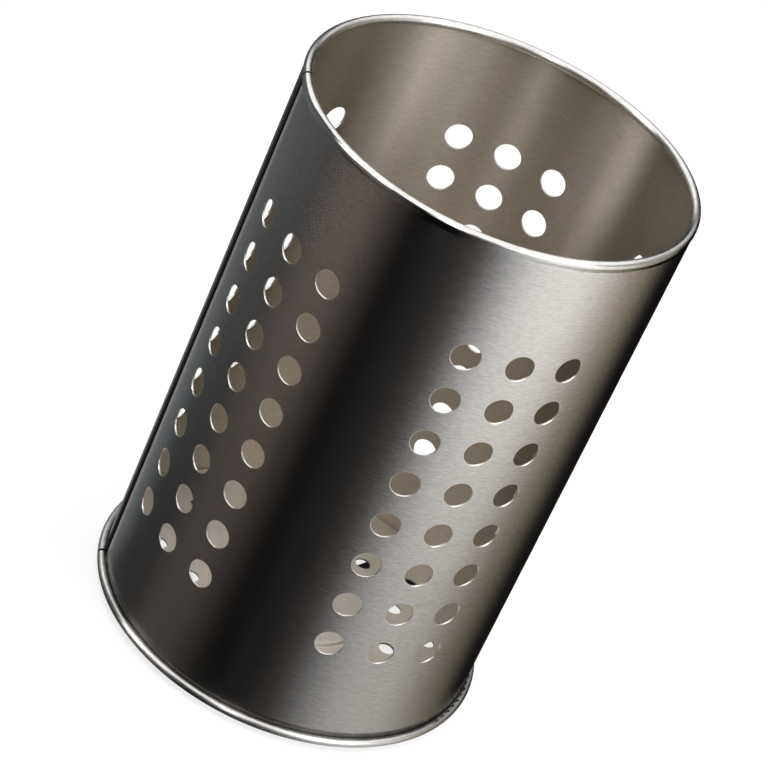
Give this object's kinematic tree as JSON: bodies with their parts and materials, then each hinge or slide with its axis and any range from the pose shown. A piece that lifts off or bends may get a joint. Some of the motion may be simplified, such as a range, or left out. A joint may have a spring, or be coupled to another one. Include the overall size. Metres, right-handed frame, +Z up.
{
  "type": "rotating utensil holder",
  "caption": "Round perforated steel utensil holder with a rolled rim and base, turning on a low ball-bearing base hidden under its floor.",
  "frame": {"origin": "centre of the table plane that the rubber feet stand on, on the turning axis", "axes": "+Z up along the turning axis; the wall's lap seam is 2.6 degrees past -X"},
  "size_m": [0.1232, 0.1232, 0.1815],
  "materials": {
    "brushed_sheet": "fine brushed round the wall, curls polished",
    "floor_sheet": "bright rolled",
    "polished_steel": "polished",
    "race_steel": "pressed, zinc plated",
    "base_steel": "pressed",
    "zinc_steel": "zinc plated",
    "ball_steel": "ground and polished",
    "nylon": "moulded",
    "cage_plastic": "moulded",
    "rubber": "matt"
  },
  "bodies": {
    "base": {"base_spider": "base_steel", "lower_race": "race_steel", "lower_race_rivets": "zinc_steel", "pivot_rivet": "zinc_steel", "thrust_washer": "zinc_steel", "spring_washer": "zinc_steel", "backing_washer": "zinc_steel", "foot_pad_1": "rubber", "foot_pad_2": "rubber", "foot_pad_3": "rubber", "foot_pad_4": "rubber"},
    "ball_carrier": {"ball_cage": "cage_plastic", "bearing_balls": "ball_steel"},
    "canister": {"canister_wall": "brushed_sheet", "floor_pan": "floor_sheet", "floor_studs": "zinc_steel", "stud_nuts": "zinc_steel", "upper_race": "race_steel", "pivot_bush": "nylon", "pivot_cap": "polished_steel"}
  },
  "joints": [
    {"name": "canister_spin", "type": "hinge", "parent": "base", "child": "canister", "pos_m": [0, 0, 0.0055], "axis": [0, 0, 1], "continuous": true},
    {"name": "ball_carrier_spin", "type": "hinge", "parent": "base", "child": "ball_carrier", "pos_m": [0, 0, 0.0055], "axis": [0, 0, 1], "continuous": true}
  ],
  "couplings": [
    {"joint": "ball_carrier_spin", "follows": "canister_spin", "ratio": 0.5}
  ]
}
